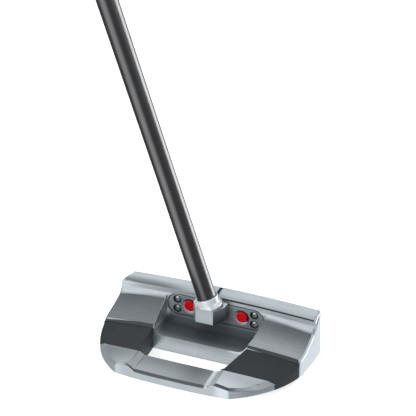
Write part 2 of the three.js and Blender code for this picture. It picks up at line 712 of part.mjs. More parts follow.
// ---------------------------------------------------------------- fasteners
// Flat head with two spanner holes, over a short shank.
function neckBolt(x) {
  const headTop = 1.1;
  const shankEnd = -(BOLT_END_Y - POCKET_WALL_Y - BOLT_SINK - GAP);
  const profile = [[0, shankEnd], [BOLT_SHANK, shankEnd], [BOLT_SHANK, 0], [BOLT_HEAD, 0],
    [BOLT_HEAD, headTop - 0.3], [BOLT_HEAD - 0.3, headTop], [0, headTop]];
  const holes = [-1, 1].map((side) => moved(rod(0.42, headTop - 0.6, headTop + 1, 10), side * 1.15, 0, 0));
  const turn = new THREE.Matrix4().makeRotationZ(-40 * RAD);
  const bolt = placed(cut(turned(profile, 28), ...holes), turn);
  return facingBack(bolt, x, POCKET_WALL_Y + BOLT_SINK - GAP, BOLT_Z);
}

// Button head with a hexagon socket, over a long shank.
function insertScrew(x, z) {
  const shankEnd = -(SCREW_END_Y - POCKET_WALL_Y - SCREW_SINK + GAP);
  const dome = arc(0, -1.2, 2.4, 40, 90, 4).filter(([radius]) => radius < SCREW_HEAD);
  const profile = [[0, shankEnd], [SCREW_SHANK, shankEnd], [SCREW_SHANK, 0], [SCREW_HEAD, 0],
    [SCREW_HEAD, 0.35], ...dome.slice(0, -1), [0, 1.2]];
  const socket = rod(0.75, 0.5, 3, 6);
  return facingBack(cut(turned(profile, 20), socket), x, POCKET_WALL_Y + SCREW_SINK - GAP, z);
}

// ---------------------------------------------------------------- face insert and gasket
function faceInsert() {
  const body = faceBody(0, INSERT_THICKNESS, 0.05);
  const holes = screwPlaces.map(([, x, z]) => (
    prismY(arc(x, z, SCREW_SHANK + GAP, 0, 337.5, 15), 0, SCREW_END_Y + GAP)));
  return cut(body, ...holes);
}

function dampingGasket() {
  const body = faceBody(0.2, INSERT_THICKNESS + GAP + GASKET_THICKNESS, INSERT_THICKNESS + GAP);
  const holes = screwPlaces.map(([, x, z]) => (
    prismY(arc(x, z, SCREW_SHANK + GAP, 0, 337.5, 15), 0, 40)));
  return cut(body, ...holes);
}

// ---------------------------------------------------------------- sole weights
function soleWeight(x) {
  const bottom = 1.3;
  const top = WEIGHT_HEIGHT + bottom;
  const rim = 0.4;
  const body = turned([[0, bottom], [WEIGHT_RADIUS - rim, bottom], [WEIGHT_RADIUS, bottom + rim],
    [WEIGHT_RADIUS, top], [0, top]], 32);
  const holes = [-1, 1].map((side) => moved(rod(0.9, bottom - 1, bottom + 1.5, 12), side * 4, 0, 0));
  return moved(cut(body, ...holes), x, WEIGHT_Y, 0);
}

// ---------------------------------------------------------------- shaft and grip
const buttAt = CLUB_LENGTH - BLOCK_TOP_Z / Math.sin(LIE * RAD);
const shaftStart = COLLAR_LENGTH - SOCKET_DEPTH + GAP;

function shaftRadius(along) {
  const taper = Math.max(0, (along - SHAFT_TIP_PARALLEL) / (buttAt - SHAFT_TIP_PARALLEL));
  return (SHAFT_TIP_DIAMETER + (SHAFT_BUTT_DIAMETER - SHAFT_TIP_DIAMETER) * taper) / 2;
}

// Tube round the shaft's axis through the given stations.
function sleeve(stations, inner, outer) {
  const outside = stations.map((along) => [outer(along), along]);
  const inside = stations.map((along) => [inner(along), along]).reverse();
  return onShaft(turned([...outside, ...inside, outside[0]], 28));
}

const shaftEnd = buttAt - 4;
const gripFoot = buttAt - GRIP_LENGTH;
const tapeThickness = 0.4;

function shaft() {
  const stations = [shaftStart, SHAFT_TIP_PARALLEL, shaftEnd];
  return sleeve(stations, (s) => shaftRadius(s) - SHAFT_WALL, shaftRadius);
}

function tipPlug() {
  const radius = SHAFT_TIP_DIAMETER / 2 - SHAFT_WALL - GAP;
  return onShaft(rod(radius, shaftStart + 1, shaftStart + 12, 24));
}

function gripTape() {
  const inner = (s) => shaftRadius(s) + GAP;
  return sleeve([gripFoot + 6, shaftEnd], inner, (s) => inner(s) + tapeThickness);
}

// Pistol putter grip: flat on the front, deeper below the butt.
function grip() {
  const sections = 12;
  const around = 24;
  const length = GRIP_LENGTH - 3;
  const positions = [];
  const index = [];
  const bore = (s) => shaftRadius(s) + 2 * GAP + tapeThickness;
  for (let i = 0; i <= sections; i += 1) {
    const t = i / sections;
    const along = gripFoot + length * t;
    const width = GRIP_WIDTH_FOOT + (GRIP_WIDTH_TOP - GRIP_WIDTH_FOOT) * t * t * (3 - 2 * t);
    const depth = GRIP_WIDTH_FOOT + (GRIP_WIDTH_TOP - 2 - GRIP_WIDTH_FOOT) * t ** 1.5;
    for (let k = 0; k < around; k += 1) {
      const angle = (2 * Math.PI * k) / around;
      const x = Math.cos(angle) * width * 0.5;
      const round = Math.sin(angle) * depth * 0.5 - (depth - GRIP_WIDTH_FOOT) * 0.35;
      const y = Math.min(round, bore(along) + 2.2);
      positions.push(x, y, along);
    }
  }
  for (let i = 0; i < sections; i += 1) {
    for (let k = 0; k < around; k += 1) {
      const a = i * around + k;
      const b = i * around + ((k + 1) % around);
      index.push(a, b, b + around, a, b + around, a + around);
    }
  }
  const foot = positions.length / 3;
  positions.push(0, 0, gripFoot, 0, 0, gripFoot + length);
  for (let k = 0; k < around; k += 1) {
    const next = (k + 1) % around;
    const top = sections * around;
    index.push(foot, next, k, foot + 1, top + k, top + next);
  }
  const geometry = new THREE.BufferGeometry();
  geometry.setAttribute('position', new THREE.BufferAttribute(new Float32Array(positions), 3));
  geometry.setIndex(index);
  const hollow = turned([[0, gripFoot - 5], [bore(gripFoot), gripFoot - 5], [bore(shaftEnd), shaftEnd + GAP],
    [1.5, shaftEnd + GAP], [1.5, buttAt + 10], [0, buttAt + 10]]);
  return onShaft(cut(toSolid(geometry), hollow));
}

function gripCap() {
  const start = gripFoot + GRIP_LENGTH - 3 + GAP;
  const radius = GRIP_WIDTH_TOP / 2 - 1;
  const edge = arc(radius - 1.8, start + 0.8, 1.8, 0, 90, 4);
  const body = turned([[0, start], [radius, start], ...edge, [0, start + 2.6]]);
  return onShaft(moved(body, 0, -1.6, 0));
}

// ---------------------------------------------------------------- assembly
const putter = new THREE.Group();

function add(name, solid, material) {
  const mesh = new THREE.Mesh(toGeometry(solid), material);
  mesh.name = name;
  putter.add(mesh);
}

add('front_body', frontBody(), steel);
add('core_frame', coreFrame(), blackAluminium);
add('rear_flange', rearFlange(), steel);
add('neck_plate', neckPlate(), steel);
boltPlaces.forEach(([side, x]) => add(`neck_bolt_${side}`, neckBolt(x), redAluminium));
screwPlaces.forEach(([place, x, z]) => add(`insert_screw_${place}`, insertScrew(x, z), screwSteel));
add('face_insert', faceInsert(), faceAluminium);
add('damping_gasket', dampingGasket(), gasketRubber);
add('sight_line', sightBody(0.7, SIGHT_REAR_Y + 0.05, TOPLINE_FRONT_Y - 0.1, 0.2, 0.85), paint);
add('sole_weight_heel', soleWeight(-WEIGHT_X), weightSteel);
add('sole_weight_toe', soleWeight(WEIGHT_X), weightSteel);
function addSoleScrews(prefix, places, length) {
  bothSides(places).forEach(([x, y, z], i) => {
    const side = x < 0 ? 'heel' : 'toe';
    const body = cut(soleScrewBody(length, 0), rod(1, -5, 0.6, 6));
    add(`${prefix}_${side}_${i < 2 ? 'a' : 'b'}`, moved(body, x, y, z), screwSteel);
  });
}
addSoleScrews('core_screw', CORE_SCREWS, CORE_SCREW_LENGTH);
addSoleScrews('flange_screw', FLANGE_SCREWS, FLANGE_SCREW_LENGTH);
add('shaft', shaft(), shaftSteel);
add('shaft_tip_plug', tipPlug(), gasketRubber);
add('grip_tape', gripTape(), tapePaper);
add('grip', grip(), rubber);
add('grip_cap', gripCap(), rubber);

putter.position.y = -SOLE_CENTRE_Y;

export default putter;
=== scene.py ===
"""A mallet putter: milled steel head round a black aluminium core, smoked steel shaft, rubber grip."""

import json
import math
from collections import namedtuple

import bmesh
import bpy
import numpy as np
from mathutils import Matrix, Vector
from mathutils.bvhtree import BVHTree


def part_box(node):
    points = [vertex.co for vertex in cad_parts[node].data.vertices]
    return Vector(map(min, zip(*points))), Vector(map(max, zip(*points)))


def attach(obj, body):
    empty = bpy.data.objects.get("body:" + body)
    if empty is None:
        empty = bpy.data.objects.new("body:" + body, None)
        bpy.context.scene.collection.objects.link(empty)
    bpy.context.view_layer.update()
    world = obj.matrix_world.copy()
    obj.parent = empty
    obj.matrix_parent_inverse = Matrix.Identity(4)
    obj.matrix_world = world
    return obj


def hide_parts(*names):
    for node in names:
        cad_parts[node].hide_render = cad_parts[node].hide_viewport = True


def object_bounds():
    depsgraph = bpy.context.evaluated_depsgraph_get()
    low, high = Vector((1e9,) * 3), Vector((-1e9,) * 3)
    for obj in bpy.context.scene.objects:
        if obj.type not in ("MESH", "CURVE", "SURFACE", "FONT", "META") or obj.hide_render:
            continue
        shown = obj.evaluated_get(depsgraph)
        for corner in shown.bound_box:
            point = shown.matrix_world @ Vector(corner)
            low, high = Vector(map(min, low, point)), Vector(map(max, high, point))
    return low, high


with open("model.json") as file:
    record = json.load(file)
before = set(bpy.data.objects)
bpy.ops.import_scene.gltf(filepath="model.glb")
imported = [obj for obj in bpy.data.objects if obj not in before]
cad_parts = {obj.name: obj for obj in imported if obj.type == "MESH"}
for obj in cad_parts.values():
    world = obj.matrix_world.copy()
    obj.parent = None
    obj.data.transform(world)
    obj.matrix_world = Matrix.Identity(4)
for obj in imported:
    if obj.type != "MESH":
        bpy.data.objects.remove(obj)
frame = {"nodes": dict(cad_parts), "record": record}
nodes = frame["nodes"]
cad_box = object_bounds()
scene = bpy.context.scene

MM = 0.001


# ---------------------------------------------------------------- camera

VIEW_AZIMUTH = math.radians(22.72)
VIEW_ELEVATION = math.radians(26.88)
VIEW_ROLL = math.radians(0.21)
VIEW_DISTANCE = 0.7805
LENS = 138.46
SENSOR = 36
AIM = Vector((-0.01324, 0.03143, 0.05952))


def view_axes():
    """The directions to the camera's right, up and front."""
    a, e = VIEW_AZIMUTH, VIEW_ELEVATION
    right = Vector((math.cos(a), math.sin(a), 0))
    front = Vector((-math.sin(a) * math.cos(e), math.cos(a) * math.cos(e), -math.sin(e)))
    up = right.cross(front)
    turn = Matrix.Rotation(-VIEW_ROLL, 3, front)
    return turn @ right, turn @ up, front


def add_camera():
    """The camera looks down on the head from behind and a little from the toe side."""
    right, up, front = view_axes()
    data = bpy.data.cameras.new("camera")
    data.lens = LENS
    data.sensor_width = SENSOR
    data.clip_start = 0.01
    data.clip_end = 20
    camera = bpy.data.objects.new("camera", data)
    turn = Matrix((right, up, -front)).transposed().to_4x4()
    camera.matrix_world = Matrix.Translation(AIM - VIEW_DISTANCE * front) @ turn
    scene.collection.objects.link(camera)
    scene.camera = camera


add_camera()


# ---------------------------------------------------------------- light and floor


def direction(azimuth, elevation):
    """A unit vector: azimuth 0 points along +Y and 90 along +X."""
    a, e = math.radians(azimuth), math.radians(elevation)
    return Vector((math.sin(a) * math.cos(e), math.cos(a) * math.cos(e), math.sin(e)))


def add_softbox(name, azimuth, elevation, distance, width, height, power):
    """A rectangular light that faces the head from that direction."""
    data = bpy.data.lights.new(name, "AREA")
    data.shape = "RECTANGLE"
    data.size = width
    data.size_y = height
    data.energy = power
    light = bpy.data.objects.new(name, data)
    towards = direction(azimuth, elevation)
    light.location = towards * distance
    light.rotation_mode = "QUATERNION"
    light.rotation_quaternion = (-towards).to_track_quat("-Z", "Y")
    light.visible_glossy = False
    light.visible_camera = False
    scene.collection.objects.link(light)


# Soft reflectors of the studio: azimuth, elevation, full radius, faded radius (degrees), level.
REFLECTORS = [
    (-18, 46, 16, 50, 0.88),
    (-150, 34, 20, 42, 0.60),
    (-162, -28, 12, 42, 0.74),
    (20, -33, 14, 34, 0.70),
    (48, 0, 10, 24, 3.40),
    (92, 38, 14, 34, 0.80),
]
DOME_LEVEL = 0.13
DOME_COLOUR = (0.98, 0.99, 1.0, 1)
BACKDROP_LEVEL = 0.86  # the dome as seen straight on, beyond the floor
FLOOR_RADIUS = 4
FLOOR_DROP = 0.0002  # keeps the floor clear of the sole


def add_world():
    """A studio dome: dim, with soft reflectors round the object."""
    world = bpy.data.worlds.new("studio")
    scene.world = world
    world.use_nodes = True
    tree = world.node_tree
    tree.nodes.clear()
    coord = tree.nodes.new("ShaderNodeTexCoord")
    total = None
    for azimuth, elevation, full, faded, level in REFLECTORS:
        dot = tree.nodes.new("ShaderNodeVectorMath")
        dot.operation = "DOT_PRODUCT"
        dot.inputs[1].default_value = direction(azimuth, elevation)
        tree.links.new(coord.outputs["Generated"], dot.inputs[0])
        fade = tree.nodes.new("ShaderNodeMapRange")
        fade.interpolation_type = "SMOOTHSTEP"
        fade.inputs["From Min"].default_value = math.cos(math.radians(faded))
        fade.inputs["From Max"].default_value = math.cos(math.radians(full))
        fade.inputs["To Max"].default_value = level
        tree.links.new(dot.outputs["Value"], fade.inputs["Value"])
        add = tree.nodes.new("ShaderNodeMath")
        add.operation = "ADD"
        add.inputs[1].default_value = DOME_LEVEL
        tree.links.new(fade.outputs["Result"], add.inputs[0])
        if total is not None:
            tree.links.new(total, add.inputs[1])
        total = add.outputs[0]
    path = tree.nodes.new("ShaderNodeLightPath")
    seen = tree.nodes.new("ShaderNodeMix")
    seen.inputs["B"].default_value = BACKDROP_LEVEL
    tree.links.new(path.outputs["Is Camera Ray"], seen.inputs["Factor"])
    tree.links.new(total, seen.inputs["A"])
    background = tree.nodes.new("ShaderNodeBackground")
    background.inputs["Color"].default_value = DOME_COLOUR
    out = tree.nodes.new("ShaderNodeOutputWorld")
    tree.links.new(seen.outputs["Result"], background.inputs["Strength"])
    tree.links.new(background.outputs[0], out.inputs[0])


def add_floor():
    """A plain white floor disc that glows a little, so that it stays white."""
    bm = bmesh.new()
    bmesh.ops.create_circle(bm, cap_ends=True, segments=96, radius=FLOOR_RADIUS)
    mesh = bpy.data.meshes.new("floor")
    bm.to_mesh(mesh)
    bm.free()
    floor = bpy.data.objects.new("floor", mesh)
    scene.collection.objects.link(floor)
    floor.location.z = cad_box[0].z - FLOOR_DROP
    floor.visible_glossy = False
    material = bpy.data.materials.new("floor_white")
    material.use_nodes = True
    shader = material.node_tree.nodes["Principled BSDF"]
    shader.inputs["Base Color"].default_value = (0.8, 0.8, 0.8, 1)
    shader.inputs["Roughness"].default_value = 0.9
    shader.inputs["Specular IOR Level"].default_value = 0
    shader.inputs["Emission Color"].default_value = (1, 1, 1, 1)
    shader.inputs["Emission Strength"].default_value = 0.72
    mesh.materials.append(material)


scene.view_settings.view_transform = "Standard"
add_world()
add_floor()
add_softbox("key", azimuth=-165, elevation=28, distance=1.6, width=0.9, height=0.9, power=15)


# ---------------------------------------------------------------- materials


class Nodes:
    """Builds one material's node tree round its Principled shader."""

    def __init__(self, name, metallic, specular=0.5):
        self.material = bpy.data.materials.new(name)
        self.material.use_nodes = True
        self.tree = self.material.node_tree
        self.shader = self.tree.nodes["Principled BSDF"]
        self.shader.inputs["Metallic"].default_value = metallic
        self.shader.inputs["Specular IOR Level"].default_value = specular
        self.place = self.tree.nodes.new("ShaderNodeTexCoord").outputs["Object"]

    def link(self, source, target):
        self.tree.links.new(source, target)

    def noise(self, scale, detail=2.0, stretch=(1, 1, 1)):
        """Noise in the object's own metres, stretched along its axes."""
        mapping = self.tree.nodes.new("ShaderNodeMapping")
        mapping.inputs["Scale"].default_value = stretch
        noise = self.tree.nodes.new("ShaderNodeTexNoise")
        noise.inputs["Scale"].default_value = scale
        noise.inputs["Detail"].default_value = detail
        self.link(self.place, mapping.inputs["Vector"])
        self.link(mapping.outputs["Vector"], noise.inputs["Vector"])
        return noise.outputs["Fac"]

    def spread(self, value, start, end, low, high):
        """Maps start..end onto low..high smoothly."""
        node = self.tree.nodes.new("ShaderNodeMapRange")
        node.interpolation_type = "SMOOTHSTEP"
        for key, number in (("From Min", start), ("From Max", end), ("To Min", low), ("To Max", high)):
            node.inputs[key].default_value = number
        self.link(value, node.inputs["Value"])
        return node.outputs["Result"]

    def math(self, operation, first, second):
        """One step of arithmetic on two values; either may be a plain number."""
        node = self.tree.nodes.new("ShaderNodeMath")
        node.operation = operation
        for socket, value in zip(node.inputs, (first, second)):
            if isinstance(value, (int, float)):
                socket.default_value = value
            else:
                self.link(value, socket)
        return node.outputs[0]

    def mottle(self, noise, low, high):
        """Maps the busy middle of a noise onto low..high."""
        return self.spread(noise, 0.3, 0.7, low, high)

    def part(self, vector, axis):
        """One axis of a vector."""
        split = self.tree.nodes.new("ShaderNodeSeparateXYZ")
        self.link(vector, split.inputs[0])
        return split.outputs[axis]

    def ramp(self, length, start, end, low=0, high=1):
        """Maps a length's start..end, in millimetres, onto low..high."""
        return self.spread(length, start * MM, end * MM, low, high)

    def along(self, axis, start, end, low=0, high=1):
        """The same for the place along one of the object's own axes."""
        return self.ramp(self.part(self.place, axis), start, end, low, high)

    def facing(self, axis, none, full):
        """0 to 1 as the surface's normal goes from none to full along an axis."""
        geometry = self.tree.nodes.new("ShaderNodeNewGeometry")
        return self.spread(self.part(geometry.outputs["Normal"], axis), none, full, 0, 1)

    def mask(self, region):
        """1 inside a region and 0 outside."""
        places = [self.along(*fade) for fade in region.place]
        normals = [self.facing(*fade) for fade in region.normal]
        return self.times(1.0, *places, *normals)

    def apart(self, node):
        """The distance from a CAD node's centre in the XZ plane, and its two parts."""
        low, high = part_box(node)
        across = self.total(self.part(self.place, "X"), -(low[0] + high[0]) / 2)
        up = self.total(self.part(self.place, "Z"), -(low[2] + high[2]) / 2)
        square = self.total(self.times(across, across), self.times(up, up))
        return self.math("SQRT", square, 0), across, up

    def total(self, first, *terms):
        """A sum of values."""
        for term in terms:
            first = self.math("ADD", first, term)
        return first

    def times(self, first, *factors):
        """A product of values."""
        for factor in factors:
            first = self.math("MULTIPLY", first, factor)
        return first

    def towards(self, level, mask, target):
        """level where mask is 0 and target where it is 1."""
        return self.total(level, self.times(mask, self.total(target, self.times(level, -1.0))))

    def shade(self, level, *regions):
        """level, turned into each region's own painted light or shade inside it, one region after the
        other.
        """
        for region in regions:
            own = self.along(*region.level) if isinstance(region.level, tuple) else region.level
            level = self.towards(level, self.mask(region), own)
        return level

    def blend(self, factor, first, second):
        """A colour between two; either may be a socket."""
        node = self.tree.nodes.new("ShaderNodeMix")
        node.data_type = "RGBA"
        for socket, value in ((node.inputs[6], first), (node.inputs[7], second)):
            if isinstance(value, tuple):
                socket.default_value = (*value, 1)
            else:
                self.link(value, socket)
        self.link(factor, node.inputs["Factor"])
        return node.outputs[2]

    def dim(self, colour, factor):
        """A colour times a factor."""
        node = self.tree.nodes.new("ShaderNodeVectorMath")
        node.operation = "SCALE"
        self.link(colour, node.inputs[0])
        self.link(factor, node.inputs["Scale"])
        return node.outputs[0]

    def bump(self, value, height, normal=None):
        node = self.tree.nodes.new("ShaderNodeBump")
        node.inputs["Distance"].default_value = height
        self.link(value, node.inputs["Height"])
        if normal is not None:
            self.link(normal, node.inputs["Normal"])
        return node.outputs["Normal"]


CLOUD_SCALE = 90  # of the soft colour changes
CUTTER_STRETCH = (250, 4500, 4500)  # noise per metre along each axis
LONG_CUTTER_STRETCH = (40, 1500, 1500)


def surface(name, light, dark, rough, grain, height, metallic=1.0, specular=0.5, lines=0.0):
    """A finish with soft colour changes, a fine grain and, if asked, faint cutter lines along X."""
    m = Nodes(name, metallic, specular)
    colour = m.blend(m.mottle(m.noise(CLOUD_SCALE, 3), 0, 1), light, dark)
    fine = m.noise(grain, 3)
    m.link(colour, m.shader.inputs["Base Color"])
    m.link(m.mottle(fine, *rough), m.shader.inputs["Roughness"])
    normal = m.bump(fine, height)
    if lines:
        normal = m.bump(m.noise(1, 2, CUTTER_STRETCH), lines, normal)
    m.link(normal, m.shader.inputs["Normal"])
    return m, colour


# Two colours, range of roughness, noise scale and bump height (m) of each finish.
STEEL = {
    "light": (0.60, 0.665, 0.70), "dark": (0.57, 0.635, 0.67), "rough": (0.28, 0.34),
    "grain": 2600, "height": 6e-7, "metallic": 0.7, "lines": 1e-6,
}
FINISHES = {
    "black_aluminium": {
        "light": (0.040, 0.046, 0.050), "dark": (0.034, 0.040, 0.044), "rough": (0.44, 0.52),
        "grain": 3000, "height": 3e-6, "metallic": 0.0, "specular": 0.14,
    },
    "red_aluminium": {
        "light": (0.86, 0.006, 0.012), "dark": (0.78, 0.004, 0.010), "rough": (0.16, 0.24),
        "grain": 3000, "height": 1e-6, "metallic": 0.35,
    },
    "screw_steel": {
        "light": (0.86, 0.88, 0.90), "dark": (0.80, 0.82, 0.84), "rough": (0.08, 0.14),
        "grain": 3000, "height": 4e-7,
    },
    "face_aluminium": {
        "light": (0.60, 0.62, 0.64), "dark": (0.55, 0.57, 0.59), "rough": (0.30, 0.38),
        "grain": 2500, "height": 4e-6, "lines": 4e-6,
    },
    "gasket_rubber": {
        "light": (0.018, 0.018, 0.019), "dark": (0.012, 0.012, 0.013), "rough": (0.6, 0.75),
        "grain": 2500, "height": 5e-6, "metallic": 0.0,
    },
    "black_paint": {
        "light": (0.010, 0.010, 0.011), "dark": (0.008, 0.008, 0.009), "rough": (0.35, 0.5),
        "grain": 3000, "height": 3e-6, "metallic": 0.0, "specular": 0.3,
    },
    "weight_steel": {
        "light": (0.50, 0.52, 0.54), "dark": (0.46, 0.48, 0.50), "rough": (0.22, 0.3),
        "grain": 2500, "height": 2e-6,
    },
    "smoked_steel": {
        "light": (0.26, 0.26, 0.265), "dark": (0.24, 0.24, 0.245), "rough": (0.28, 0.30),
        "grain": 3000, "height": 3e-8,
    },
    "tape_paper": {
        "light": (0.62, 0.60, 0.55), "dark": (0.55, 0.53, 0.48), "rough": (0.7, 0.85),
        "grain": 1500, "height": 1e-5, "metallic": 0.0,
    },
    "grip_rubber": {
        "light": (0.020, 0.020, 0.021), "dark": (0.014, 0.014, 0.015), "rough": (0.5, 0.65),
        "grain": 2200, "height": 1.2e-5, "metallic": 0.0,
    },
    # Partly real polish, partly painted light: the collar's colour is raised well above the other steel
    # to copy its bright reflections.
    "collar_steel_painted_bright": {
        "light": (0.90, 0.95, 0.98), "dark": (0.86, 0.91, 0.94), "rough": (0.18, 0.24),
        "grain": 2600, "height": 4e-7, "metallic": 0.4,
    },
}

# A region of the head: its place in mm (if empty, everywhere) and, where that matters, its normal,
# both as fades (axis, none here, full here); and its painted brightness, where 1 is the plain steel,
# more is painted light and less is painted shade. A painted brightness that changes is a ramp:
# (axis, start, end, low, high), with the start and end in mm.
Region = namedtuple("Region", "place level normal", defaults=[None, ()])

# On the front body.
# Painted shade: the topline a little darker from near the middle to the toe.
TOPLINE_TOE_PAINTED_SHADE = Region([("X", -25, -5)], 0.92)
# Painted shade: a dark line along the topline's rear edge, on its toe side.
TOPLINE_SEAM_PAINTED_SHADE = Region([("X", 2.0, 4.0), ("Y", 10.55, 10.3)], 0.10)
SEAM_HEIGHT = (22.95, 23.1)  # none and full, in mm, in the middle of the head
SEAM_SINKS = 0.52  # per metre, with the square of X
# Painted shade: the rear half of the topline darker towards the heel.
TOPLINE_HEEL_PAINTED_SHADE = Region([("X", -8, -30), ("Y", 15.5, 10.4), ("Y", 10.0, 10.1), ("Z", 22.4, 22.7)], 0.42)
# Painted light: the rear-facing wall below the topline a little brighter.
SHELF_WALL_PAINTED_LIGHT = Region(
    [("Y", 10.2, 10.1), ("Z", 16.5, 17.0), ("Z", 22.9, 22.6)], 1.16, [("Y", -0.5, -0.75)],
)
# Painted light: the toe end, where it faces +X, brighter.
TOE_END_PAINTED_LIGHT = Region([("X", 30, 44)], 1.3, [("X", 0.5, 0.8)])
# Painted shade on the wing tops: darkest at the front and the heel, lighter towards the toe and the
# rear.
WINGS = Region([("Y", 8.6, 7.6), ("Y", -9.6, -8.9), ("Z", 7.0, 8.0)], normal=[("Z", 0.78, 0.88)])
WING_PAINTED_SHADE = 0.30
WING_PAINTED_SHADE_GAINS = (("X", -25, 25, 0.05, 0.31), ("Y", 8, -9, 0, 1))  # to the toe, to the rear
# Painted shade: dark lines on the wings' rear chamfers at the toe and the heel.
WING_EDGE_NORMAL = [("Y", -0.45, -0.6)]
WING_EDGE_PAINTED_SHADES = (
    Region([("X", 23.6, 24.6), ("Y", -8.4, -8.6), ("Z", 8.0, 8.3)], 0.14, WING_EDGE_NORMAL),
    Region([("X", -23.6, -24.6), ("Y", -8.95, -9.1), ("Z", 9.0, 9.3)], 0.14, WING_EDGE_NORMAL),
)
CUTTER_SHADES = (0.95, 1.05)
# Painted shade: the pocket floor dark, lighter towards its rear lip.
POCKET = Region([
    ("X", -26.3, -26.0), ("X", 26.3, 26.0), ("Y", -10.55, -10.3), ("Z", 12.5, 9.0), ("Z", 5.5, 6.0),
])
POCKET_PAINTED_SHADE_COLOUR = (0.126, 0.155, 0.172)
POCKET_ROUGHNESS = 0.62
POCKET_LIP = Region([("Y", -4.0, -10.5)])
POCKET_LIP_PAINTED_SHADE_COLOUR = (0.235, 0.275, 0.30)
# Painted highlight: a bright line along a pocket edge on the heel side.
POCKET_RIM_PAINTED_HIGHLIGHT = Region(
    [("X", -27.4, -27.0), ("X", -23.2, -23.8), ("Y", 9.2, 8.6), ("Z", 8.8, 9.3)], 1.5,
    [("X", 0.2, 0.35), ("Z", 0.3, 0.45), ("Z", 0.97, 0.9)],
)
# Painted highlight: a bright arc at the pocket's rear toe corner.
POCKET_CORNER_PAINTED_HIGHLIGHT = Region([("X", 13, 18), ("Y", -10.2, -10.35), ("Z", 8.0, 8.4)], 1.35)
# Painted shade: the rear wall under the pocket darker towards its top.
UNDER_POCKET_PAINTED_SHADE = Region(
    [("X", -26.6, -26.4), ("X", 26.6, 26.4), ("Y", -10.5, -10.65)], ("Z", 9, 4, 0.58, 0.85),
)

# On the rear flange.
# Painted shade: the flange's rear-facing walls a little darker.
FLANGE_WALL_PAINTED_SHADE = Region([], 0.86, [("Y", -0.7, -0.9)])
# Painted highlight: the flange brighter near its rear toe corner.
FLANGE_CORNER_PAINTED_HIGHLIGHT = Region([("X", 20, 25), ("X", 38, 30)], 1.25)
# Painted light: the flange's heel end a little brighter.
FLANGE_HEEL_PAINTED_LIGHT = Region([("X", -22, -30)], 1.12)
# Painted shade on the flange's top faces, less of it towards the rear, the toe and the heel.
FLANGE_TOP = Region([], normal=[("Z", 0.85, 0.94)])
FLANGE_PAINTED_SHADE = 0.40
FLANGE_PAINTED_SHADE_GAINS = (("Y", -33, -44, 0, 0.28), ("X", 16, 22, 0, 0.40), ("X", -16, -22, 0, 0.12))
CHAMFER_NORMAL = [("Z", 0.05, 0.3), ("Z", 0.95, 0.85), ("Y", -0.2, -0.5)]
# Painted shade: dark lines along the flange's rear chamfer, lighter on the toe side.
FLANGE_CHAMFER_PAINTED_SHADE = Region([("X", 37, 30), ("X", -25, -21)], 0.22, CHAMFER_NORMAL)
TOE_CHAMFER_PAINTED_SHADE = Region([("X", 29, 34)], 0.5, CHAMFER_NORMAL)
# Painted light: the flange's toe-side ramp brighter.
TOE_RAMP_PAINTED_LIGHT = Region([("X", 16.2, 17.4), ("X", 21.8, 20.6), ("Z", 6.0, 7.6)], 1.35, [("Z", 0.1, 0.35)])

# On the neck plate.
# Painted shade and sheen: the plate dimmed, and painted brighter towards the heel.
PLATE_PAINTED_SHADE_AND_SHEEN = ("X", -17, -24, 0.72, 1.07)
BLOCK = Region([("X", -9.8, -9.4), ("X", 7.4, 7.0), ("Y", 9.55, 9.45)], 1.0)
# Painted shade: the block's toe-facing sides dark, most at the bottom.
BLOCK_TOE_SIDES_PAINTED_SHADE = Region(BLOCK.place, ("Z", 15, 23, 0.22, 0.62), [("X", 0.25, 0.6)])
# Painted shade: dark rings round the screws, where their counterbores lie in shadow.
SCREW_SHADE_RING = (2.3, 2.1)  # distance from the screw with none and with all of the ring, in mm
SCREW_SHADE_RING_LEVEL = 0.2
# Painted shade and a painted glint: a ring round each bolt, dark at its upper right and bright at its
# lower left.
BOLT_SHADE_RING = (4.0, 3.85)
BOLT_PAINTED_GLINT = (-0.6, -0.8)  # where the ring is bright: across and up from the bolt
BOLT_PAINTED_GLINT_RAMP = (-0.5, 1.5, 0.18, 1.45)


def topline_seam_shade_mask(m):
    """1 along the topline's rear edge, where a dark line of painted shade goes; the edge sinks towards
    the toe and the heel.
    """
    x = m.part(m.place, "X")
    height = m.total(m.part(m.place, "Z"), m.times(x, x, SEAM_SINKS))
    return m.ramp(height, *SEAM_HEIGHT)


